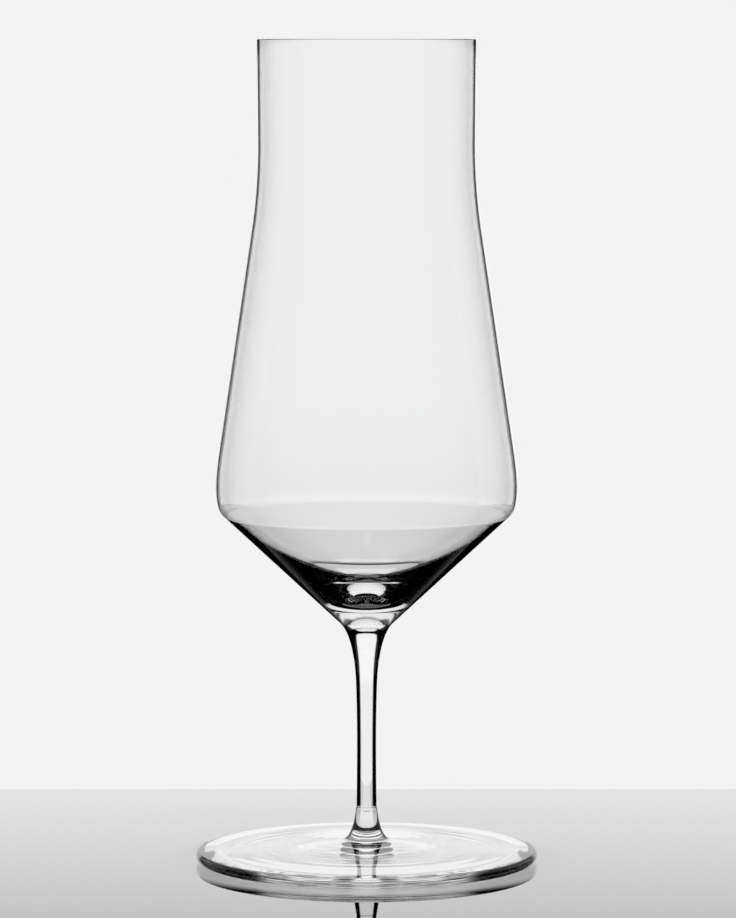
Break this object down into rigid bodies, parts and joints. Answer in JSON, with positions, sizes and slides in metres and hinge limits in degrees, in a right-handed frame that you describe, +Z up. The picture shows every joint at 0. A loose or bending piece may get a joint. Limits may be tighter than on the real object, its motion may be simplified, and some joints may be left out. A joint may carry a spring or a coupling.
{
  "type": "stemmed whisky glass",
  "caption": "Tall clear stemmed whisky glass: an upright chimney mouth over a leaning flank, a tight shoulder, a straight cone base, a slim drawn stem and a broad thin foot.",
  "frame": {"origin": "on the table, under the centre of the foot", "axes": "+Z up along the stem, from the foot to the mouth; X and Y level, alike all round"},
  "size_m": [0.0948, 0.0948, 0.2277],
  "materials": {
    "clear_glass": "fire polished, colourless"
  },
  "bodies": {
    "root": {"foot": "clear_glass", "stem": "clear_glass", "bowl": "clear_glass"}
  },
  "joints": []
}
